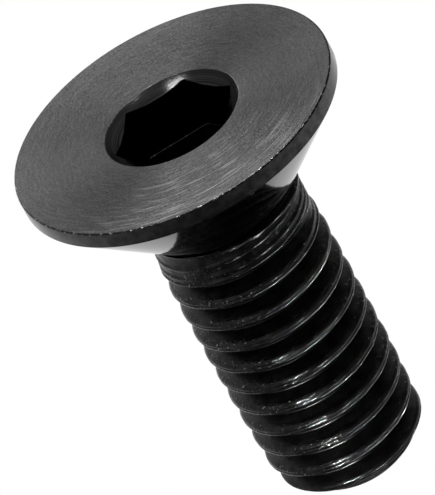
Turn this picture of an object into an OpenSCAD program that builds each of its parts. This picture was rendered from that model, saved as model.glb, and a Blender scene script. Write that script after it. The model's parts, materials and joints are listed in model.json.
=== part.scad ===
// Countersunk hex socket screw, M6 x 16, fully threaded, black oxide steel.
// Millimetres, +Z up. The screw stands on its flat head: the origin is the
// centre of the head face and the shank rises along +Z to the tip.

/* [Head] */
// Diameter of the rim
head_d = 12; // [11:0.1:14]
// Height of the straight land around the rim
land_h = 0.6; // [0.3:0.05:1]
// Included angle of the countersunk seat
seat_angle = 88; // [80:1:100]
// Width of the bevel that breaks the rim's edge
edge_break = 0.06; // [0.02:0.01:0.2]
// Diameter of the plain neck between the seat and the thread
neck_d = 5.4; // [5.1:0.1:5.6]
// Radius of the fillet where the seat runs into the neck
neck_fillet = 0.3; // [0.1:0.1:1]
// Length of the neck between that fillet and the thread
neck_l = 0.15; // [0.05:0.05:1]

/* [Socket] */
// Size of the hex key across its flats
key_af = 4; // [2.5:0.5:5]
// Play between the key and the socket across the flats
key_play = 0.05; // [0.02:0.01:0.15]
// Depth of the hexagon's straight walls below the head face
key_depth = 2.2; // [1.5:0.1:2.6]
// Included angle of the cone at the socket's bottom
bottom_angle = 120; // [110:5:150]
// How far the round chamfered mouth stands out past the hexagon's corners
mouth_margin = 0.18; // [0.05:0.01:0.4]
// Included angle of the chamfer at the mouth
mouth_angle = 120; // [90:5:140]

/* [Thread] */
// Outer diameter of the thread
thread_d = 5.9; // [5.7:0.05:6]
// Distance from one crest to the next
pitch = 1; // [0.75:0.05:1.25]
// Included angle between the flanks
flank_angle = 60; // [55:1:62]
// Overall length from the head face to the tip
length = 16; // [12:1:30]
// Height at which a crest crosses the +X side, within one pitch
crest_z = 0.27; // [0:0.01:1]
// Turns over which the thread comes to its full depth
run_in = 1; // [0.5:0.25:2]
// Diameter of the flat at the tip
tip_d = 3.6; // [2.6:0.1:4.6]
// Angle between the tip's chamfer and the screw's axis
tip_slope = 48; // [30:1:60]

/* [Hidden] */

$fn = 96;

// Straight steps in each turn of the thread
turn_steps = 32;
// Straight steps in the neck's fillet
fillet_steps = 6;
// Overrun that carries a cut or a sunk piece clear of the surface beside it
overrun = 0.05;

head_r = head_d / 2;
neck_r = neck_d / 2;
thread_r = thread_d / 2;
tip_r = tip_d / 2;
seat_half = seat_angle / 2;

// The seat's cone would meet the neck's wall here, and the fillet eases that corner
seat_end = land_h + (head_r - neck_r) / tan(seat_half);
fillet_top = seat_end + neck_fillet * tan(seat_half / 2);
neck_top = fillet_top + neck_l;

// Standard proportions of a metric external thread
crest_flat = pitch / 8;
thread_depth = 0.6134 * pitch;
flank_l = thread_depth * tan(flank_angle / 2);
root_r = thread_r - thread_depth;
// Radius at which the thread is rooted in the neck, just inside the neck's wall
sunk_r = neck_r - overrun;

// The shank is sunk this far into the neck, and the helix runs on past both its ends
root_sink = 0.2;
shank_z = neck_top - root_sink;
spare_turns = 2;
first_turn = floor((shank_z - crest_z) / pitch) - spare_turns;
last_turn = ceil((length - crest_z) / pitch) + spare_turns;
helix_steps = (last_turn - first_turn) * turn_steps;

socket_af = key_af + key_play;
socket_corner_r = socket_af / 2 / cos(30);
mouth_r = socket_corner_r + mouth_margin;
mouth_tan = tan(mouth_angle / 2);
bottom_r = key_af / 2;

// Arc from the seat's slope to the neck's wall, as points in the (radius, height) plane
function fillet_arc() = [
    for (i = [0:fillet_steps])
        let (tilt = seat_half * (1 - i / fillet_steps))
            [neck_r + neck_fillet * (1 - cos(tilt)), fillet_top - neck_fillet * sin(tilt)]
];

// Half section of the head and its neck before the socket is cut
function head_outline() = concat(
    [[0, 0], [head_r - edge_break, 0], [head_r, edge_break], [head_r, land_h]],
    fillet_arc(),
    [[neck_r, neck_top], [0, neck_top]]
);

// Share of the thread's full form at a height: none in the neck, whole after the run-in
function form(z) = min(1, max(0, (z - neck_top) / (run_in * pitch)));

// The tip's chamfer limits the radius, which stays above half the tip's beyond the tip
function tip_limit(z) = max(tip_r / 2, tip_r + (length - z) * tan(tip_slope));

// One turn's section at one step: root, crest, crest, root, from the head to the tip
function thread_section(step) =
    let (turns = first_turn + step / turn_steps,
         middle = crest_z + pitch * turns,
         crest_half = crest_flat / 2,
         root_half = crest_half + flank_l)
    [for (corner = [[root_r, -root_half], [thread_r, -crest_half],
                    [thread_r, crest_half], [root_r, root_half]])
        let (z = middle + corner[1],
             r = min(sunk_r + (corner[0] - sunk_r) * form(z), tip_limit(z)))
            [r * cos(360 * turns), r * sin(360 * turns), z]];

// Two triangles for the patch between a pair of corners and the same pair one step on
function patch(a, b) = [[a, b, b + 4], [a, b + 4, a + 4]];

// A turn's three own patches at each step, and the root that joins it to the next turn
function thread_faces() = [
    for (step = [0:helix_steps - 1])
        each concat(
            [for (corner = [0:2]) each patch(4 * step + corner, 4 * step + corner + 1)],
            step + turn_steps < helix_steps
                ? patch(4 * step + 3, 4 * (step + turn_steps))
                : []
        )
];

// The open edges of the first turn and of the last, each closed by a fan to the axis
function first_edge() = concat(
    [0, 1, 2, 3],
    [for (step = [turn_steps:-1:0]) 4 * step]
);
function last_edge() =
    let (last = 4 * helix_steps)
    concat(
        [for (step = [helix_steps - turn_steps:helix_steps]) 4 * step + 3],
        [last + 2, last + 1, last, last - 4 * turn_steps + 3]
    );
function fan(edge, hub) = [for (i = [0:len(edge) - 2]) [hub, edge[i + 1], edge[i]]];

module helix() {
    sections = [for (step = [0:helix_steps]) each thread_section(step)];
    low_hub = [0, 0, crest_z + pitch * (first_turn + 0.5)];
    high_hub = [0, 0, crest_z + pitch * (last_turn - 0.5)];
    polyhedron(
        points = concat(sections, [low_hub, high_hub]),
        faces = concat(
            thread_faces(),
            fan(first_edge(), len(sections)),
            fan(last_edge(), len(sections) + 1)
        )
    );
}

module threaded_shank() {
    intersection() {
        helix();
        translate([0, 0, shank_z]) cylinder(d = 2 * thread_d, h = length - shank_z);
    }
}

module hex_socket() {
    translate([0, 0, -overrun])
        cylinder(r = socket_corner_r, h = key_depth + overrun, $fn = 6);
    translate([0, 0, key_depth - overrun])
        cylinder(r1 = bottom_r + overrun * tan(bottom_angle / 2), r2 = 0,
                 h = bottom_r / tan(bottom_angle / 2) + overrun);
    translate([0, 0, -overrun])
        cylinder(r1 = mouth_r + overrun * mouth_tan, r2 = 0, h = mouth_r / mouth_tan + overrun);
}

module screw() {
    color("dimgray")
        difference() {
            union() {
                rotate_extrude() polygon(head_outline());
                threaded_shank();
            }
            hex_socket();
        }
}

screw();
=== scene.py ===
# Countersunk hex socket screw, M6 x 16, in black oxide steel, standing on its flat head.
# The screw is modelled in millimetres and brought to metres when it is whole.
import json
import math

import bpy
import numpy as np
from mathutils import Matrix, Vector, noise


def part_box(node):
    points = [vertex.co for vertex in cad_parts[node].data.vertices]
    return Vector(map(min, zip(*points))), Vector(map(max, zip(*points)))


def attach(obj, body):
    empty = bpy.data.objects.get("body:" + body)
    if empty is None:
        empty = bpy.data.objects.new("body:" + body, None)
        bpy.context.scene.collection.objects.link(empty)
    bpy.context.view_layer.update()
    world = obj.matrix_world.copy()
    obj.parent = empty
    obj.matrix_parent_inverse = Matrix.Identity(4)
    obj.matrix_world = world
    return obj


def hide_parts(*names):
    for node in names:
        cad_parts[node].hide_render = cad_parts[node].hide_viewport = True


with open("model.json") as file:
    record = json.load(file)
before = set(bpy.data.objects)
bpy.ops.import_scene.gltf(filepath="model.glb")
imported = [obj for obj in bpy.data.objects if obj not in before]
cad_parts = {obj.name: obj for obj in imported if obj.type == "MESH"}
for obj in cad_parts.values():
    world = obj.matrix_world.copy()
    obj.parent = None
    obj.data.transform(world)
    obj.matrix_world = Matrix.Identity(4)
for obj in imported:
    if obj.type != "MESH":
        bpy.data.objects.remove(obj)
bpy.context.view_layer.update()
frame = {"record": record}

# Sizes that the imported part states, in millimetres
MM = 0.001
MOUNTS = {mount["name"]: mount["dims"] for mount in frame["record"]["mounts"]}
HEAD_R = MOUNTS["head_rim"]["r_mm"]
THREAD_R = MOUNTS["thread"]["r_mm"]
KEY_DEPTH = MOUNTS["hex_socket"]["length_mm"]
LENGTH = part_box("screw")[1].z / MM

# Head: a straight land, then the countersunk seat down to a short neck
LAND_H = 0.6
SEAT_HALF = math.radians(44)
RIM_ROUND = 0.06
LAND_ROUND = 0.008
NECK_R = 2.6
NECK_FILLET = 0.1
NECK_L = 0.03
SEAT_END = LAND_H + (HEAD_R - NECK_R) / math.tan(SEAT_HALF)
FILLET_TOP = SEAT_END + NECK_FILLET * math.tan(SEAT_HALF / 2)
NECK_TOP = FILLET_TOP + NECK_L
# The face keeps a ring of corners this far outside the socket's mouth
FACE_RING = 0.5
HEAD_STEPS = 192
ARC_STEPS = 5

# Socket: a hexagon with a round chamfered mouth and a conical bottom
SOCKET_AF = 4.05
SOCKET_CORNER_R = SOCKET_AF / 2 / math.cos(math.radians(30))
CORNER_ROUND = 0.06
MOUTH_MARGIN = 0.18
MOUTH_R = SOCKET_CORNER_R + MOUTH_MARGIN
MOUTH_LIP = 0.03
MOUTH_SLOPE = math.tan(math.radians(30))
BOTTOM_R = 1.9
BOTTOM_ROUND = 0.05
BOTTOM_SLOPE = math.tan(math.radians(30))
BEVEL_STEPS = 3
# How far a cutter runs past the surface that it cuts
OVERRUN = 0.5

# Thread: a rolled metric form, whose round crest keeps a fine seam between two folds of metal
PITCH = 1.0
CREST_Z = 0.27
CREST_RISE = 0.03
CREST_R = THREAD_R + CREST_RISE
THREAD_DEPTH = 0.56 * PITCH
ROOT_R = CREST_R - THREAD_DEPTH
FLANK_SLOPE = math.radians(60)
CREST_ROUND = 0.22
ROOT_ROUND = 0.035
SEAM_DEPTH = 0.038
SEAM_W = 0.035
TURN_STEPS = 84
CREST_STEPS = 24
ROOT_STEPS = 2
FLANK_CUTS = 11
# Sides of the section that are longer than this are cut up
LONG_SIDE = 0.2
# Turns that run on past both ends of the shank before it is trimmed
SPARE_TURNS = 2

# First turns: the shank leaves the neck plain, with a lip and folds along the helix,
# and the thread forms after them
THREAD_START = 4.1
START_R = 2.76
START_RISE = 0.06
START_L = 1.0
LIP_Z = 4.1
LIP_LEAN = 0.12
LIP_H = 0.065
LIP_W = 0.085
LIP_SINK = 0.12
LIP_STEP = 0.13
FOLDS = (-0.15, 0.12, 0.43)
FOLD_H = 0.06
FOLD_L = 0.5
FOLD_W = 0.08
FORM_START = 5.3
FORM_L = 0.2
CREST_BLEND = 0.3
SETTLE = 0.05
SETTLE_L = 1.5
BURR_H = 0.1
BURR_W = 0.1
BURR_TURN = math.radians(12)
BURR_Z = 4.36

# Rolled metal: wrinkles along the helix, which the forming mostly presses flat,
# and slow waves with smaller ripples everywhere
WRINKLE = 0.007
WRINKLE_W = 0.07
WRINKLE_TURN = 2
PRESSED = 0.8
UNEVEN = 0.012
WAVES_PER_MM = 2.2
RIPPLES_PER_MM = 6
RIPPLE_SHARE = 0.5

# Tip: the last turns taper a little to a dull chamfer with soft edges
TAPER = 0.12
TAPER_START = 11.3
TIP_R = 1.75
TIP_SLOPE = math.tan(math.radians(51))
TIP_OFF = 0.05
TIP_EASE = 0.3
TIP_ROUND = 0.2
# Lift and narrowing of each ring that rounds off the end, whose lifts add up to TIP_ROUND
TIP_RINGS = ((0.10, 0.93), (0.06, 0.93), (0.04, 0.88))
CHAMFER_L = 1.2
SHANK_SINK = 0.2

# Distances below which corners are taken as one, a cut as touching, or a spot as on a surface
MERGE = 1e-4
TOUCH = 1e-5
SKIN = 1e-4
NEAR = 1e-3
CORNER_NEAR = 0.01
# A face is level, turned down or steep where its normal's height passes these
LEVEL = 0.99
TURNED_DOWN = -0.9
STEEP = 0.6
# Edges are smoothed below this angle
SMOOTH_BELOW = math.radians(35)

# Sizes of the finishes' patterns, in millimetres
FACE_GRAIN = 0.09
FACE_TRACK = 0.09
SCRATCH_TRACK = 0.08
SEAT_GRAIN = 0.3
THREAD_GRAIN = 0.11
THREAD_BLOTCH = 0.45
TIP_GRAIN = 0.2
SOCKET_TRACK = 0.06
EDGE_GRAIN = 0.16
# How often an arc and a scratch of the face change along their way round
FACE_BREAKS = 9.0
SCRATCH_BREAKS = 4.0
# Radii between which the face gets lighter, and places along Y, on the front, between which scratches are
# painted lighter as glints
LIGHTER_FROM = 4.4
LIGHTER_TO = 5.7
GLINTS_FROM = -2.2
GLINTS_TO = -4.2
# Heights between which the thread gets its full sheen
SHEEN_FROM = 4.6
SHEEN_TO = 5.6
# Radii between which bare steel on the edges gets lighter, from the socket's to the rim's
BARE_FROM = 3
BARE_TO = 5
# Share of the rim's rounding that is worn
RIM_WORN = 0.8

# Depths of the finishes' fine relief, in millimetres
FACE_RELIEF = 0.024
THREAD_RELIEF = 0.019
TIP_RELIEF = 0.01
SOCKET_RELIEF = 0.003
EDGE_RELIEF = 0.02

# Camera, from the photograph's frame of 435 by 495 pixels
FRAME_W = 435
FRAME_H = 495
FOCAL_PX = 11595
SENSOR = 36.0
HEAD_PX = (171.50, 117.77)
CAMERA_FAR = 0.400
CAMERA_TILT = math.radians(32.23)
CAMERA_AZIMUTH = math.radians(-85.7)
AXIS_ON_IMAGE = math.radians(60.90)
CLIP_NEAR = 0.01
CLIP_FAR = 10

# Stage, in metres: the floor's reach, its hole just inside the rim, and where it fades out
FLOOR_R = 3
HOLE_INSET = 0.04 * MM
FADE_NEAR = 0.03
FADE_FAR = 0.15
# Light of the white room on dull surfaces, where 1 is white
ROOM_LIGHT = 0.75


# Small helpers

def linear(code):
    """An sRGB hex colour as linear red, green, blue and a full alpha."""
    shares = [int(code[i:i + 2], 16) / 255 for i in (1, 3, 5)]
    return [c / 12.92 if c <= 0.04045 else ((c + 0.055) / 1.055) ** 2.4 for c in shares] + [1.0]


def ease(share):
    """A soft step from 0 to 1."""
    share = np.clip(share, 0, 1)
    return share * share * (3 - 2 * share)


def add(tree, kind, links=None, **settings):
    """Adds a node; a link's key is an input's name or number, its value a socket or a constant."""
    made = tree.nodes.new(kind)
    for name, value in settings.items():
        setattr(made, name, value)
    for key, value in (links or {}).items():
        if isinstance(value, bpy.types.NodeSocket):
            tree.links.new(value, made.inputs[key])
        else:
            made.inputs[key].default_value = value
    return made


def pick(piece):
    """Selects one piece alone and makes it active."""
    bpy.ops.object.select_all(action="DESELECT")
    piece.select_set(True)
    bpy.context.view_layer.objects.active = piece


def edit(kind="VERT"):
    """Opens the active piece for editing by vertices, edges or faces."""
    bpy.ops.object.mode_set(mode="EDIT")
    bpy.ops.mesh.select_mode(type=kind)


def choose(piece, kind, belongs):
    """Opens a piece for editing with only those vertices, edges or faces selected that belong."""
    edit(kind)
    bpy.ops.mesh.select_all(action="DESELECT")
    bpy.ops.object.mode_set(mode="OBJECT")
    mesh = piece.data
    items = {"VERT": mesh.vertices, "EDGE": mesh.edges, "FACE": mesh.polygons}[kind]
    for item in items:
        item.select = belongs(item)
    bpy.ops.object.mode_set(mode="EDIT")


def pull_outline(name, points):
    """Pulls one vertex through (radius, height) points in the XZ plane, and stays in edit mode."""
    bpy.ops.object.select_all(action="DESELECT")
    bpy.ops.mesh.primitive_plane_add(size=1)
    piece = bpy.context.object
    piece.name = name
    edit()
    bpy.ops.mesh.merge(type="CENTER")
    bpy.ops.transform.translate(value=(points[0][0], 0, points[0][1]))
    for (r0, z0), (r1, z1) in zip(points, points[1:]):
        step = {"value": (r1 - r0, 0, z1 - z0)}
        bpy.ops.mesh.extrude_region_move(TRANSFORM_OT_translate=step)
    return piece


def lathe(name, points):
    """Turns a half section, which starts and ends on the Z axis, once round that axis."""
    piece = pull_outline(name, points)
    bpy.ops.mesh.select_all(action="SELECT")
    bpy.ops.mesh.spin(steps=HEAD_STEPS, angle=2 * math.pi, center=(0, 0, 0), axis=(0, 0, 1))
    bpy.ops.mesh.select_all(action="SELECT")
    bpy.ops.mesh.remove_doubles(threshold=MERGE)
    bpy.ops.mesh.normals_make_consistent(inside=False)
    bpy.ops.object.mode_set(mode="OBJECT")
    return piece


def span(piece, edge):
    """The way from one end of an edge to the other."""
    start, end = (piece.data.vertices[v].co for v in edge.vertices)
    return end - start


def join_by(piece, other, operation):
    """Joins or cuts with another closed mesh, which is used up."""
    pick(piece)
    cut = piece.modifiers.new("join", "BOOLEAN")
    cut.operation = operation
    cut.solver = "EXACT"
    cut.object = other
    bpy.ops.object.modifier_apply(modifier="join")
    bpy.data.objects.remove(other)


def arc(centre, radius, start, end, steps=ARC_STEPS):
    """Points of an arc in the (radius, height) plane, angles in degrees."""
    angles = np.radians(np.linspace(start, end, steps + 1))
    return [(centre[0] + radius * math.cos(a), centre[1] + radius * math.sin(a)) for a in angles]


# The screw

def turned_head():
    """Head and neck as one turned form, before the socket is cut."""
    half = math.degrees(SEAT_HALF)
    rim = arc((HEAD_R - RIM_ROUND, RIM_ROUND), RIM_ROUND, -90, 0)
    land_turn = math.tan(SEAT_HALF / 2) * LAND_ROUND
    land = arc((HEAD_R - LAND_ROUND, LAND_H - land_turn), LAND_ROUND, 0, half)
    fillet = arc((NECK_R + NECK_FILLET, FILLET_TOP), NECK_FILLET, 180 + half, 180)
    face = [(0, 0), (MOUTH_R + FACE_RING, 0)]
    neck = [(NECK_R, NECK_TOP), (0, NECK_TOP)]
    return lathe("finished_screw", face + rim + land + fillet + neck)


def socket_hexagon():
    """Hexagon with eased corners, long enough to stand out of the head face."""
    bpy.ops.object.select_all(action="DESELECT")
    bpy.ops.mesh.primitive_cylinder_add(vertices=6, radius=SOCKET_CORNER_R, depth=2 * KEY_DEPTH,
                                        rotation=(0, 0, math.radians(30)))
    piece = bpy.context.object
    bpy.ops.object.transform_apply(rotation=True)

    def at_bottom(edge):
        ends = (piece.data.vertices[v].co.z for v in edge.vertices)
        return all(z > KEY_DEPTH - NEAR for z in ends)

    choose(piece, "EDGE", lambda edge: abs(span(piece, edge).z) > KEY_DEPTH)
    bpy.ops.mesh.bevel(offset=CORNER_ROUND, segments=BEVEL_STEPS)
    bpy.ops.object.mode_set(mode="OBJECT")
    choose(piece, "EDGE", at_bottom)
    bpy.ops.mesh.bevel(offset=BOTTOM_ROUND, segments=BEVEL_STEPS)
    bpy.ops.object.mode_set(mode="OBJECT")
    return piece


def cut_socket(head):
    """Cuts the hexagon, its conical bottom and its round mouth, which has a narrow eased lip."""
    join_by(head, socket_hexagon(), "DIFFERENCE")
    above = KEY_DEPTH - OVERRUN
    deep = KEY_DEPTH + BOTTOM_R * BOTTOM_SLOPE
    bottom = [(0, above), (BOTTOM_R, above), (BOTTOM_R, KEY_DEPTH), (0, deep)]
    join_by(head, lathe("socket_bottom", bottom), "DIFFERENCE")
    lip = MOUTH_R + MOUTH_LIP
    mouth = [(0, -OVERRUN), (lip, -OVERRUN), (lip, 0), (MOUTH_R, MOUTH_LIP * MOUTH_SLOPE / 2),
             (0, MOUTH_R * MOUTH_SLOPE)]
    join_by(head, lathe("socket_mouth", mouth), "DIFFERENCE")


def thread_profile(first_turn):
    """One turn's section from root to root with rounded corners, and the height of its crest."""
    flank_top = CREST_ROUND * (1 - math.cos(FLANK_SLOPE))
    flank_l = (THREAD_DEPTH - flank_top) / math.tan(FLANK_SLOPE)
    root_half = CREST_ROUND * math.sin(FLANK_SLOPE) + flank_l
    middle = CREST_Z + PITCH * first_turn
    slope = math.degrees(FLANK_SLOPE)
    crest = arc((CREST_R - CREST_ROUND, 0), CREST_ROUND, -slope, slope, steps=CREST_STEPS)
    before = [(ROOT_R, -PITCH / 2), (ROOT_R, -root_half)]
    after = [(ROOT_R, root_half), (ROOT_R, PITCH / 2)]
    piece = pull_outline("shank", [(r, middle + z) for r, z in before + crest + after])

    def root_corner(corner):
        inner = corner.co.x < ROOT_R + CORNER_NEAR
        return inner and abs(corner.co.z - middle) < PITCH / 2 - CORNER_NEAR

    choose(piece, "VERT", root_corner)
    bpy.ops.mesh.bevel(offset=ROOT_ROUND, segments=ROOT_STEPS, affect="VERTICES")
    choose(piece, "EDGE", lambda edge: span(piece, edge).length > LONG_SIDE)
    bpy.ops.mesh.subdivide(number_cuts=FLANK_CUTS)
    bpy.ops.object.mode_set(mode="OBJECT")
    return piece, middle


def shape_shank(shank, offsets, radii):
    """Starts the thread at the neck, chamfers the tip and makes the rolled metal a little uneven."""
    mesh = shank.data
    flat = np.empty(len(mesh.vertices) * 3)
    mesh.vertices.foreach_get("co", flat)
    spots = flat.reshape(-1, 3)
    around = np.arctan2(spots[:, 1], spots[:, 0])
    height = spots[:, 2]
    phase = (height - CREST_Z) / PITCH - around / (2 * math.pi)
    phase = (phase - np.round(phase)) * PITCH

    # Plain start, with a lip at the neck, a small burr and the folds that the rolling leaves
    lead = height - PITCH / 4 * np.cos(around)
    plain = START_R + START_RISE * ease((lead - THREAD_START) / START_L)
    fold_rise = FOLD_H * ease((lead - THREAD_START) / FOLD_L)
    for fold in FOLDS:
        apart = phase - fold
        apart -= PITCH * np.round(apart / PITCH)
        plain += fold_rise * np.exp(-(apart / FOLD_W) ** 2)
    past_lip = height - LIP_Z + LIP_LEAN * np.cos(around)
    plain += LIP_H * np.exp(-(past_lip / LIP_W) ** 2)
    plain -= LIP_SINK * (1 - ease(1 + past_lip / LIP_STEP))
    turned = np.abs(around) - math.pi + BURR_TURN
    burr = np.exp(-(turned / BURR_W) ** 2 - ((height - BURR_Z) / BURR_W) ** 2)
    plain += BURR_H * burr * (around < 0)

    # Full thread with its seam, a little lower at first and tapered at the tip
    full = np.interp(phase, offsets, radii) - SEAM_DEPTH * np.exp(-(phase / SEAM_W) ** 2)
    full -= SETTLE * (1 - ease((lead - THREAD_START - START_L) / SETTLE_L))
    full -= TAPER * ease((height - TAPER_START) / (LENGTH - TAPER_START))

    # Each side of a crest is formed when the groove beside it is
    groove_before = ease((height - phase - PITCH / 2 - FORM_START) / FORM_L)
    groove_after = ease((height - phase + PITCH / 2 - FORM_START) / FORM_L)
    side = ease(0.5 + phase / CREST_BLEND)
    formed = groove_before * (1 - side) + groove_after * side
    radius = plain * (1 - formed) + full * formed

    # Wrinkles along the helix, then waves and ripples
    wrinkles = []
    for offset, (x, y, z) in zip(phase, spots):
        along = (WRINKLE_TURN * x / CREST_R, WRINKLE_TURN * y / CREST_R + z)
        wrinkles.append(noise.noise(Vector((offset / WRINKLE_W, *along))))
    radius += (1 - PRESSED * formed) * WRINKLE * np.array(wrinkles)
    uneven = []
    for spot in spots:
        waves = noise.noise(Vector(spot) * WAVES_PER_MM)
        ripples = noise.noise(Vector(spot) * RIPPLES_PER_MM)
        uneven.append(waves + RIPPLE_SHARE * ripples)
    radius += UNEVEN * np.array(uneven)

    # The chamfer limits the radius, with a soft edge and a little off the axis
    limit = TIP_R + (LENGTH - height) * TIP_SLOPE - TIP_OFF * np.cos(around)
    blend = np.clip(0.5 + 0.5 * (limit - radius) / TIP_EASE, 0, 1)
    radius = limit * (1 - blend) + radius * blend - TIP_EASE * blend * (1 - blend)
    radius = np.clip(radius, TIP_R / 2, None)
    scale = radius / np.hypot(spots[:, 0], spots[:, 1])
    spots[:, 0] *= scale
    spots[:, 1] *= scale
    mesh.vertices.foreach_set("co", spots.ravel())
    mesh.update()


def trim_shank(shank):
    """Cuts the shank off inside the neck and near the tip, and rounds off its end."""
    tip_z = LENGTH - TIP_ROUND
    edit()
    bpy.ops.mesh.select_all(action="SELECT")
    bpy.ops.mesh.bisect(plane_co=(0, 0, NECK_TOP - SHANK_SINK), plane_no=(0, 0, 1), use_fill=True,
                        clear_inner=True, threshold=TOUCH)
    bpy.ops.mesh.select_all(action="SELECT")
    bpy.ops.mesh.bisect(plane_co=(0, 0, tip_z), plane_no=(0, 0, 1), use_fill=True,
                        clear_outer=True, threshold=TOUCH)
    bpy.ops.object.mode_set(mode="OBJECT")
    choose(shank, "FACE", lambda face: face.center.z > tip_z - NEAR and abs(face.normal.z) > LEVEL)
    for lift, narrowing in TIP_RINGS:
        bpy.ops.mesh.extrude_region_move(TRANSFORM_OT_translate={"value": (0, 0, lift)})
        bpy.ops.transform.resize(value=(narrowing, narrowing, 1), center_override=(0, 0, LENGTH))
    bpy.ops.mesh.select_all(action="SELECT")
    bpy.ops.mesh.normals_make_consistent(inside=False)
    bpy.ops.object.mode_set(mode="OBJECT")


def rolled_shank():
    """Threaded shank from inside the neck to the rounded tip."""
    first_turn = math.floor((NECK_TOP - CREST_Z) / PITCH) - SPARE_TURNS
    last_turn = math.ceil((LENGTH - CREST_Z) / PITCH) + SPARE_TURNS
    shank, middle = thread_profile(first_turn)
    section = sorted((v.co.z - middle, v.co.x) for v in shank.data.vertices)
    pick(shank)
    helix = shank.modifiers.new("thread", "SCREW")
    helix.axis = "Z"
    helix.angle = 2 * math.pi
    helix.screw_offset = PITCH
    helix.iterations = last_turn - first_turn
    helix.steps = TURN_STEPS
    helix.render_steps = TURN_STEPS
    bpy.ops.object.modifier_apply(modifier="thread")
    edit()
    bpy.ops.mesh.select_all(action="SELECT")
    bpy.ops.mesh.remove_doubles(threshold=MERGE)
    bpy.ops.object.mode_set(mode="OBJECT")
    shape_shank(shank, [z for z, r in section], [r for z, r in section])
    trim_shank(shank)
    return shank


# Materials

def bare_material(name):
    """A new metal material, its node tree, its shader and the piece's coordinates in millimetres."""
    made = bpy.data.materials.new(name)
    made.use_nodes = True
    tree = made.node_tree
    shader = tree.nodes["Principled BSDF"]
    shader.inputs["Metallic"].default_value = 1.0
    place = add(tree, "ShaderNodeTexCoord").outputs["Object"]
    sized = add(tree, "ShaderNodeVectorMath", {0: place, "Scale": 1 / MM},
                operation="SCALE").outputs[0]
    return made, tree, shader, sized


def off_axis(tree, sized):
    """The way out from the screw's axis to a spot, and its length, in millimetres."""
    outward = add(tree, "ShaderNodeVectorMath", {0: sized, 1: (1, 1, 0)},
                  operation="MULTIPLY").outputs[0]
    radius = add(tree, "ShaderNodeVectorMath", {0: outward}, operation="LENGTH").outputs["Value"]
    return outward, radius


def turned_face_steel():
    """Black oxide on a turned face: dull dark grey grain, fine arcs round the axis, and scratches painted
    lighter as glints on the front.
    """
    made, tree, shader, sized = bare_material("black_oxide_turned_face")
    outward, radius = off_axis(tree, sized)
    spoke = add(tree, "ShaderNodeVectorMath", {0: outward}, operation="NORMALIZE").outputs[0]

    # Real tool marks are too fine to show at this size, so the arcs are drawn coarser
    def arcs(spacing, breaks):
        tracks = add(tree, "ShaderNodeMath", {0: radius, 1: 1 / spacing},
                     operation="MULTIPLY").outputs[0]
        lift = add(tree, "ShaderNodeCombineXYZ", {"Z": tracks}).outputs[0]
        turned = add(tree, "ShaderNodeVectorMath", {0: spoke, "Scale": breaks},
                     operation="SCALE").outputs[0]
        along = add(tree, "ShaderNodeVectorMath", {0: turned, 1: lift}, operation="ADD").outputs[0]
        return add(tree, "ShaderNodeTexNoise", {"Vector": along, "Scale": 1.0,
                                                "Detail": 3.0}).outputs["Fac"]

    grain = add(tree, "ShaderNodeTexNoise", {"Vector": sized, "Scale": 1 / FACE_GRAIN,
                                             "Detail": 3.0}).outputs["Fac"]
    tooled = arcs(FACE_TRACK, FACE_BREAKS)
    mixed = add(tree, "ShaderNodeMix", {0: 0.6, 2: tooled, 3: grain}).outputs[0]
    shade = add(tree, "ShaderNodeMapRange", {"Value": mixed, "From Min": 0.36,
                                             "From Max": 0.64}).outputs[0]

    # Slightly lighter towards the rim
    inner = add(tree, "ShaderNodeMix", {0: shade, 6: linear("#242424"), 7: linear("#3f3f3f")},
                data_type="RGBA").outputs[2]
    outer = add(tree, "ShaderNodeMix", {0: shade, 6: linear("#2a2a2a"), 7: linear("#464646")},
                data_type="RGBA").outputs[2]
    rim = add(tree, "ShaderNodeMapRange", {"Value": radius, "From Min": LIGHTER_FROM,
                                           "From Max": LIGHTER_TO}).outputs[0]
    plain = add(tree, "ShaderNodeMix", {0: rim, 6: inner, 7: outer}, data_type="RGBA").outputs[2]

    # Painted glints: the scratches along the arcs are drawn lighter only on the front of the face, where
    # the lamps' highlight falls
    forward = add(tree, "ShaderNodeSeparateXYZ", {0: sized}).outputs["Y"]
    side = add(tree, "ShaderNodeMapRange", {"Value": forward, "From Min": GLINTS_FROM,
                                            "From Max": GLINTS_TO}).outputs[0]
    scratches = arcs(SCRATCH_TRACK, SCRATCH_BREAKS)
    marks = add(tree, "ShaderNodeMapRange", {"Value": scratches, "From Min": 0.53,
                                             "From Max": 0.7}).outputs[0]
    painted_glints = add(tree, "ShaderNodeMath", {0: marks, 1: side}, operation="MULTIPLY").outputs[0]
    colour = add(tree, "ShaderNodeMix", {0: painted_glints, 6: plain, 7: linear("#5c5c5c")},
                 data_type="RGBA").outputs[2]
    tree.links.new(colour, shader.inputs["Base Color"])

    bump = add(tree, "ShaderNodeBump", {"Height": mixed, "Distance": FACE_RELIEF * MM,
                                        "Strength": 1.0}).outputs[0]
    tree.links.new(bump, shader.inputs["Normal"])
    tangent = add(tree, "ShaderNodeTangent", direction_type="RADIAL", axis="Z").outputs[0]
    tree.links.new(tangent, shader.inputs["Tangent"])
    shader.inputs["Roughness"].default_value = 0.5
    shader.inputs["Anisotropic"].default_value = 0.8
    shader.inputs["Anisotropic Rotation"].default_value = 0.25
    return made


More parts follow.
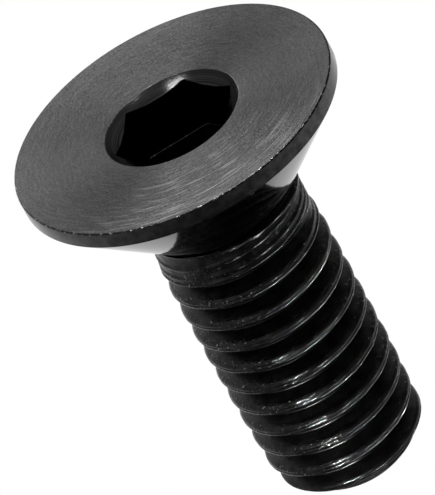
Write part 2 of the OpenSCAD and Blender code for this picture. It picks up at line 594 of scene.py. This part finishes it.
def seat_steel():
    """Black oxide on land and seat: near black, the land satin and the formed seat like a mirror."""
    made, tree, shader, sized = bare_material("black_oxide_formed_seat")
    up_axis = add(tree, "ShaderNodeSeparateXYZ", {0: sized}).outputs["Z"]
    seat = add(tree, "ShaderNodeMapRange", {"Value": up_axis, "From Min": LAND_H - 0.05,
                                            "From Max": LAND_H + 0.02}).outputs[0]
    grain = add(tree, "ShaderNodeTexNoise", {"Vector": sized, "Scale": 1 / SEAT_GRAIN,
                                             "Detail": 4.0}).outputs["Fac"]
    mottle = add(tree, "ShaderNodeMapRange", {"Value": grain, "From Min": 0.35,
                                              "From Max": 0.65}).outputs[0]
    land_oxide = add(tree, "ShaderNodeMix", {0: mottle, 6: linear("#303030"), 7: linear("#424242")},
                     data_type="RGBA").outputs[2]
    seat_oxide = add(tree, "ShaderNodeMix", {0: mottle, 6: linear("#141414"), 7: linear("#1e1e1e")},
                     data_type="RGBA").outputs[2]
    colour = add(tree, "ShaderNodeMix", {0: seat, 6: land_oxide, 7: seat_oxide},
                 data_type="RGBA").outputs[2]
    satin = add(tree, "ShaderNodeMapRange", {"Value": grain, "From Min": 0.3, "From Max": 0.7,
                                             "To Min": 0.16, "To Max": 0.3}).outputs[0]
    rough = add(tree, "ShaderNodeMix", {0: seat, 2: satin, 3: 0.06}).outputs[0]
    # The seat mirrors a little less than the land at a flat angle
    sheen = add(tree, "ShaderNodeMix", {0: seat, 6: linear("#ffffff"), 7: linear("#f6f6f6")},
                data_type="RGBA").outputs[2]
    tree.links.new(colour, shader.inputs["Base Color"])
    tree.links.new(rough, shader.inputs["Roughness"])
    tree.links.new(sheen, shader.inputs["Specular Tint"])
    return made


def thread_steel():
    """Black oxide on a rolled thread: dark satin flanks, beaded crests with specks of bare steel."""
    made, tree, shader, sized = bare_material("black_oxide_rolled_thread")
    radius = off_axis(tree, sized)[1]
    crest = add(tree, "ShaderNodeMapRange", {"Value": radius, "From Min": CREST_R - 0.28,
                                             "From Max": CREST_R - 0.12}).outputs[0]
    grain = add(tree, "ShaderNodeTexNoise", {"Vector": sized, "Scale": 1 / THREAD_GRAIN,
                                             "Detail": 2.0}).outputs["Fac"]
    blotch = add(tree, "ShaderNodeTexNoise", {"Vector": sized, "Scale": 1 / THREAD_BLOTCH,
                                              "Detail": 3.0}).outputs["Fac"]
    shade = add(tree, "ShaderNodeMapRange", {"Value": blotch, "From Min": 0.38,
                                             "From Max": 0.68}).outputs[0]
    oxide = add(tree, "ShaderNodeMix", {0: shade, 6: linear("#101010"), 7: linear("#242424")},
                data_type="RGBA").outputs[2]
    specks = add(tree, "ShaderNodeMapRange", {"Value": grain, "From Min": 0.64,
                                              "From Max": 0.7}).outputs[0]
    worn = add(tree, "ShaderNodeMath", {0: specks, 1: crest}, operation="MULTIPLY").outputs[0]
    colour = add(tree, "ShaderNodeMix", {0: worn, 6: oxide, 7: linear("#686868")},
                 data_type="RGBA").outputs[2]
    rough = add(tree, "ShaderNodeMix", {0: crest, 2: 0.3, 3: 0.15}).outputs[0]
    beads = add(tree, "ShaderNodeMapRange", {"Value": crest, "To Min": 0.3,
                                             "To Max": 1.0}).outputs[0]
    height = add(tree, "ShaderNodeMath", {0: grain, 1: beads}, operation="MULTIPLY").outputs[0]
    bump = add(tree, "ShaderNodeBump", {"Height": height, "Distance": THREAD_RELIEF * MM,
                                        "Strength": 1.0}).outputs[0]
    tree.links.new(colour, shader.inputs["Base Color"])
    tree.links.new(rough, shader.inputs["Roughness"])
    tree.links.new(bump, shader.inputs["Normal"])

    # The plain start has less sheen at a flat angle than the formed turns
    up_axis = add(tree, "ShaderNodeSeparateXYZ", {0: sized}).outputs["Z"]
    formed = add(tree, "ShaderNodeMapRange", {"Value": up_axis, "From Min": SHEEN_FROM,
                                              "From Max": SHEEN_TO}).outputs[0]
    sheen = add(tree, "ShaderNodeMix", {0: formed, 6: linear("#cecece"), 7: linear("#f0f0f0")},
                data_type="RGBA").outputs[2]
    tree.links.new(sheen, shader.inputs["Specular Tint"])

    # The thin dull oxide scatters a little light in the grooves, so it isn't wholly metal
    shader.inputs["Metallic"].default_value = 0.75
    shader.inputs["Specular IOR Level"].default_value = 0.25
    return made


def tip_steel():
    """Black oxide on the tip's chamfer: near black and dull, with hardly a sheen when seen along it."""
    made, tree, shader, sized = bare_material("black_oxide_dull_tip")
    grain = add(tree, "ShaderNodeTexNoise", {"Vector": sized, "Scale": 1 / TIP_GRAIN,
                                             "Detail": 4.0}).outputs["Fac"]
    shade = add(tree, "ShaderNodeMapRange", {"Value": grain, "From Min": 0.35,
                                             "From Max": 0.65}).outputs[0]
    colour = add(tree, "ShaderNodeMix", {0: shade, 6: linear("#161616"), 7: linear("#2a2a2a")},
                 data_type="RGBA").outputs[2]
    bump = add(tree, "ShaderNodeBump", {"Height": grain, "Distance": TIP_RELIEF * MM,
                                        "Strength": 1.0}).outputs[0]
    tree.links.new(colour, shader.inputs["Base Color"])
    tree.links.new(bump, shader.inputs["Normal"])
    shader.inputs["Roughness"].default_value = 0.5
    shader.inputs["Specular Tint"].default_value = (0.35, 0.35, 0.35, 1)
    return made


def socket_steel():
    """Black oxide in the punched socket: near black, with fine tool marks round the chamfered mouth."""
    made, tree, shader, sized = bare_material("black_oxide_punched_socket")
    radius = off_axis(tree, sized)[1]
    marks = add(tree, "ShaderNodeTexNoise", {"W": radius, "Scale": 1 / SOCKET_TRACK, "Detail": 2.0},
                noise_dimensions="1D").outputs["Fac"]
    shade = add(tree, "ShaderNodeMapRange", {"Value": marks, "From Min": 0.35,
                                             "From Max": 0.65}).outputs[0]
    colour = add(tree, "ShaderNodeMix", {0: shade, 6: linear("#161616"), 7: linear("#2a2a2a")},
                 data_type="RGBA").outputs[2]
    bump = add(tree, "ShaderNodeBump", {"Height": marks, "Distance": SOCKET_RELIEF * MM,
                                        "Strength": 1.0}).outputs[0]
    tree.links.new(colour, shader.inputs["Base Color"])
    tree.links.new(bump, shader.inputs["Normal"])
    shader.inputs["Roughness"].default_value = 0.14
    shader.inputs["Specular Tint"].default_value = (0.45, 0.45, 0.45, 1)
    return made


def worn_edge_steel():
    """Black oxide worn through on the sharp edges: specks of bare steel along a near black line."""
    made, tree, shader, sized = bare_material("black_oxide_worn_edge")
    radius = off_axis(tree, sized)[1]
    grain = add(tree, "ShaderNodeTexNoise", {"Vector": sized, "Scale": 1 / EDGE_GRAIN,
                                             "Detail": 3.0}).outputs["Fac"]
    worn = add(tree, "ShaderNodeMapRange", {"Value": grain, "From Min": 0.55,
                                            "From Max": 0.66}).outputs[0]
    outer = add(tree, "ShaderNodeMapRange", {"Value": radius, "From Min": BARE_FROM,
                                             "From Max": BARE_TO}).outputs[0]
    bare = add(tree, "ShaderNodeMix", {0: outer, 6: linear("#484848"), 7: linear("#6c6c6c")},
               data_type="RGBA").outputs[2]
    colour = add(tree, "ShaderNodeMix", {0: worn, 6: linear("#1a1a1a"), 7: bare},
                 data_type="RGBA").outputs[2]
    bump = add(tree, "ShaderNodeBump", {"Height": grain, "Distance": EDGE_RELIEF * MM,
                                        "Strength": 1.0}).outputs[0]
    tree.links.new(colour, shader.inputs["Base Color"])
    tree.links.new(bump, shader.inputs["Normal"])
    shader.inputs["Roughness"].default_value = 0.25
    return made


def dress(piece):
    """Gives each face of the screw the finish of the surface that it lies on."""
    finishes = [turned_face_steel(), seat_steel(), thread_steel(), tip_steel(), socket_steel(),
                worn_edge_steel()]
    turned_face, seat, thread, tip, socket, worn_edge = range(len(finishes))
    for finish in finishes:
        piece.data.materials.append(finish)
    for face in piece.data.polygons:
        r = math.hypot(face.center.x, face.center.y)
        z = face.center.z
        rim_edge = r > HEAD_R - RIM_ROUND and z < RIM_ROUND * RIM_WORN
        mouth_edge = MOUTH_R < r < MOUTH_R + MOUTH_LIP and SKIN < z < MOUTH_LIP
        bottom_edge = KEY_DEPTH - BOTTOM_ROUND < z < KEY_DEPTH and BOTTOM_R < r < MOUTH_R
        chamfer_r = TIP_R + (LENGTH - z) * TIP_SLOPE - TIP_EASE / 2
        chamfer = z > LENGTH - CHAMFER_L and r > chamfer_r
        shank_start = z > LIP_Z - 2 * LIP_LEAN and r < START_R + LIP_H and face.normal.z < STEEP
        if z < SKIN and face.normal.z < TURNED_DOWN:
            face.material_index = turned_face
        elif rim_edge or mouth_edge or bottom_edge:
            face.material_index = worn_edge
        elif chamfer or z > LENGTH - TIP_ROUND:
            face.material_index = tip
        elif z > FILLET_TOP or shank_start:
            face.material_index = thread
        elif r < MOUTH_R and z < KEY_DEPTH + BOTTOM_R:
            face.material_index = socket
        else:
            face.material_index = seat


screw = turned_head()
cut_socket(screw)
join_by(screw, rolled_shank(), "UNION")
screw.data.materials.clear()
dress(screw)
pick(screw)
bpy.ops.object.shade_smooth_by_angle(angle=SMOOTH_BELOW)
screw.data.transform(Matrix.Scale(MM, 4))
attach(screw, "root")
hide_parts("screw")


# Stage: the screw's own right, front and up as the photograph sees it
front = Vector((math.cos(CAMERA_AZIMUTH), math.sin(CAMERA_AZIMUTH), 0))
up = Vector((0, 0, 1))
right = up.cross(front)
right.negate()

# Sides on which the photograph's reflections are darker
dark_side = (front * 0.8 - right * 0.2 + up * 0.5).normalized()
dim_ceiling = (front * 0.25 + up * 0.968).normalized()
dim_floor = (front * 0.6 + right * 0.8).normalized()


def photo_camera():
    """A long lens below the head face, so that the head's rim lies where the photograph has it."""
    look = up * math.sin(CAMERA_TILT) - front * math.cos(CAMERA_TILT)
    axis = (up - look * up.dot(look)).normalized()
    across = axis * math.cos(AXIS_ON_IMAGE) + right * math.sin(AXIS_ON_IMAGE)
    upward = right * math.cos(AXIS_ON_IMAGE) - axis * math.sin(AXIS_ON_IMAGE)
    metres_per_px = CAMERA_FAR / FOCAL_PX
    place = (look * -CAMERA_FAR
             - across * (HEAD_PX[0] - FRAME_W / 2) * metres_per_px
             + upward * (HEAD_PX[1] - FRAME_H / 2) * metres_per_px)
    lens = bpy.data.cameras.new("photo_lens")
    lens.lens = FOCAL_PX * SENSOR / FRAME_H
    lens.sensor_width = SENSOR
    lens.clip_start = CLIP_NEAR
    lens.clip_end = CLIP_FAR
    camera = bpy.data.objects.new("photo_camera", lens)
    bpy.context.collection.objects.link(camera)
    turned = Matrix((across, upward, -look)).transposed().to_4x4()
    camera.matrix_world = Matrix.Translation(place) @ turned
    bpy.context.scene.camera = camera


def soft_lamp(name, toward, far, size, power, aim=LENGTH / 2, spread=180, lights_floor=True):
    """An area lamp aimed at a height on the axis, its side given by the screw's right, front and up."""
    lamp = bpy.data.lights.new(name, "AREA")
    lamp.shape = "RECTANGLE"
    lamp.size, lamp.size_y = size
    lamp.energy = power
    lamp.spread = math.radians(spread)
    # It lights only what the camera sees directly: its images in the mirror of the seat are grainy
    lamp.cycles.max_bounces = 0
    lamp.cycles.use_multiple_importance_sampling = False
    holder = bpy.data.objects.new(name, lamp)
    bpy.context.collection.objects.link(holder)
    way = (right * toward[0] + front * toward[1] + up * toward[2]).normalized()
    holder.location = way * far + up * aim * MM
    holder.rotation_euler = way.to_track_quat("Z", "Y").to_euler()
    holder.visible_camera = False
    # A lamp that only makes glints on metal is kept off dull surfaces, so the floor keeps its shadow
    holder.visible_diffuse = lights_floor


def dimmed(tree, toward, side, start, end, bright, dark):
    """How bright the stage looks in a direction, from bright to dark as it turns to one side."""
    share = add(tree, "ShaderNodeVectorMath", {0: toward, 1: side},
                operation="DOT_PRODUCT").outputs["Value"]
    return add(tree, "ShaderNodeMapRange", {"Value": share, "From Min": start, "From Max": end,
                                            "To Min": bright, "To Max": dark}).outputs[0]


def pale_floor():
    """A pale floor with the screw's shadow, seen from above only, that fades into the white around it."""
    hole = HEAD_R * MM - HOLE_INSET
    bpy.ops.object.select_all(action="DESELECT")
    bpy.ops.mesh.primitive_circle_add(vertices=HEAD_STEPS, radius=hole, fill_type="NOTHING")
    floor = bpy.context.object
    floor.name = "floor"
    edit()
    bpy.ops.mesh.select_all(action="SELECT")
    bpy.ops.mesh.extrude_region_move()
    bpy.ops.transform.resize(value=(FLOOR_R / hole, FLOOR_R / hole, 1), center_override=(0, 0, 0))
    bpy.ops.mesh.select_all(action="SELECT")
    bpy.ops.mesh.normals_make_consistent(inside=False)
    bpy.ops.object.mode_set(mode="OBJECT")
    if floor.data.polygons[0].normal.z < 0:
        floor.data.flip_normals()
    # It casts no shadow itself, so that the lamps below it reach the screw
    floor.visible_shadow = False

    paper = bpy.data.materials.new("pale_floor")
    paper.use_nodes = True
    tree = paper.node_tree
    shader = tree.nodes["Principled BSDF"]
    shader.inputs["Base Color"].default_value = linear("#e6e6e6")
    shader.inputs["Roughness"].default_value = 0.8

    # In the screw's reflections it is white, and darker at the front right
    mirrored = add(tree, "ShaderNodeLightPath").outputs["Is Glossy Ray"]
    place = add(tree, "ShaderNodeTexCoord").outputs["Object"]
    toward = add(tree, "ShaderNodeVectorMath", {0: place}, operation="NORMALIZE").outputs[0]
    glow = dimmed(tree, toward, dim_floor, start=0.0, end=0.5, bright=1.0, dark=0.2)
    white = add(tree, "ShaderNodeEmission", {"Color": (1, 1, 1, 1), "Strength": glow}).outputs[0]
    above = add(tree, "ShaderNodeMixShader", {0: mirrored, 1: shader.outputs[0], 2: white}).outputs[0]

    # Clear from below, and far off except in reflections
    away = add(tree, "ShaderNodeVectorMath", {0: place}, operation="LENGTH").outputs["Value"]
    far = add(tree, "ShaderNodeMapRange", {"Value": away, "From Min": FADE_NEAR,
                                           "From Max": FADE_FAR}).outputs[0]
    fading = add(tree, "ShaderNodeMath", {0: far, 1: mirrored}, operation="SUBTRACT",
                 use_clamp=True).outputs[0]
    behind = add(tree, "ShaderNodeNewGeometry").outputs["Backfacing"]
    unseen = add(tree, "ShaderNodeMath", {0: fading, 1: behind}, operation="MAXIMUM").outputs[0]
    clear = add(tree, "ShaderNodeBsdfTransparent").outputs[0]
    mixed = add(tree, "ShaderNodeMixShader", {0: unseen, 1: above, 2: clear}).outputs[0]
    tree.links.new(mixed, tree.nodes["Material Output"].inputs["Surface"])
    floor.data.materials.append(paper)


def white_world():
    """White behind the screw, a plain light on it, and in its reflections a room darker on two sides."""
    world = bpy.data.worlds.new("white_room")
    bpy.context.scene.world = world
    world.use_nodes = True
    # The room is plain, so it isn't sampled as a lamp
    world.cycles.sampling_method = "NONE"
    tree = world.node_tree
    path = add(tree, "ShaderNodeLightPath").outputs
    toward = add(tree, "ShaderNodeTexCoord").outputs["Generated"]
    mirrored = add(tree, "ShaderNodeMath", {0: path["Is Glossy Ray"], 1: path["Is Transmission Ray"]},
                   operation="MAXIMUM").outputs[0]
    room = dimmed(tree, toward, dark_side, start=0.2, end=1.0, bright=1.0, dark=0.18)
    ceiling = dimmed(tree, toward, dim_ceiling, start=0.66, end=0.88, bright=1.0, dark=0.2)
    mirror = add(tree, "ShaderNodeMath", {0: room, 1: ceiling}, operation="MULTIPLY").outputs[0]
    around = add(tree, "ShaderNodeMix", {0: mirrored, 2: ROOM_LIGHT, 3: mirror}).outputs[0]
    level = add(tree, "ShaderNodeMix", {0: path["Is Camera Ray"], 2: around, 3: 1.0}).outputs[0]
    tree.links.new(level, tree.nodes["Background"].inputs["Strength"])
    tree.nodes["Background"].inputs["Color"].default_value = (1, 1, 1, 1)


photo_camera()
pale_floor()
white_world()

# Strip lamps overhead, which draw the bright lines along the crests
STRIP_FAR = 0.40
LONG_STRIP = (0.03, 0.13)
SHORT_STRIP = (0.03, 0.10)
soft_lamp("overhead", (0.44, -0.06, 0.89), STRIP_FAR, LONG_STRIP, power=0.8)
soft_lamp("overhead_right", (0.441, -0.475, 0.761), STRIP_FAR, LONG_STRIP, power=0.3,
          lights_floor=False)
soft_lamp("overhead_front", (0.20, 0.16, 0.967), STRIP_FAR, SHORT_STRIP, power=1.2,
          lights_floor=False)
soft_lamp("overhead_left", (-0.13, 0.22, 0.967), STRIP_FAR, SHORT_STRIP, power=0.3,
          lights_floor=False)

# A narrow spot for the glints on the last turns
SPOT_FAR = 0.12
SPOT = (0.005, 0.005)
soft_lamp("tip_spot", (-0.44, 0.78, -0.44), SPOT_FAR, SPOT, power=0.0006, aim=15, spread=3,
          lights_floor=False)

# Soft lamps below, which light the head face
SOFT_FAR = 0.35
soft_lamp("under_front", (-0.26, -0.03, -0.96), SOFT_FAR, (0.11, 0.08), power=1.0, aim=0)
soft_lamp("under_back", (0.12, -0.42, -0.90), SOFT_FAR, (0.08, 0.08), power=0.8, aim=0)
soft_lamp("under_left", (-0.237, -0.897, -0.373), SOFT_FAR, (0.07, 0.07), power=0.19, aim=0)
bpy.context.scene.view_settings.view_transform = "Standard"
